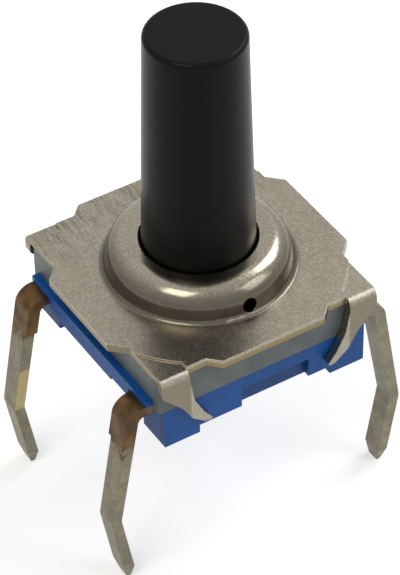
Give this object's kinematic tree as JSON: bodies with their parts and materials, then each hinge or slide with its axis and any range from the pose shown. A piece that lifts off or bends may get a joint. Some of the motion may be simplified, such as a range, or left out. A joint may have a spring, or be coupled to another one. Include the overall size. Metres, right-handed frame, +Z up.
{
  "type": "tactile push button switch",
  "caption": "Sealed through-hole tactile push button switch: long round plunger, drawn steel cover with clinched corner tabs, moulded housing, kinked snap-in legs.",
  "frame": {"origin": "on the plunger's axis, at the board surface that the four moulded feet stand on", "axes": "+Z up along the plunger's axis, away from the board; the legs leave the housing on the two X sides; the cover's tabs fold down over the two Y sides"},
  "size_m": [0.009, 0.0072, 0.0146],
  "materials": {
    "plunger": "moulded, faint satin",
    "cover_steel": "satin, fine rolled grain",
    "seal_rubber": "translucent grey silicone",
    "dome_steel": "spring steel",
    "housing": "moulded nylon",
    "terminals": "tinned, dull"
  },
  "bodies": {
    "body": {"cover": "cover_steel", "seal": "seal_rubber", "snap_dome": "dome_steel", "base_housing": "housing", "terminal_centre": "terminals", "terminal_outer": "terminals"},
    "plunger": {"button": "plunger"}
  },
  "joints": [
    {"name": "press", "type": "slide", "parent": "body", "child": "plunger", "axis": [0, 0, -1], "range_m": [0, 0.0005], "stiffness_N_per_m": 4000, "deforming": ["seal", "snap_dome"]}
  ]
}
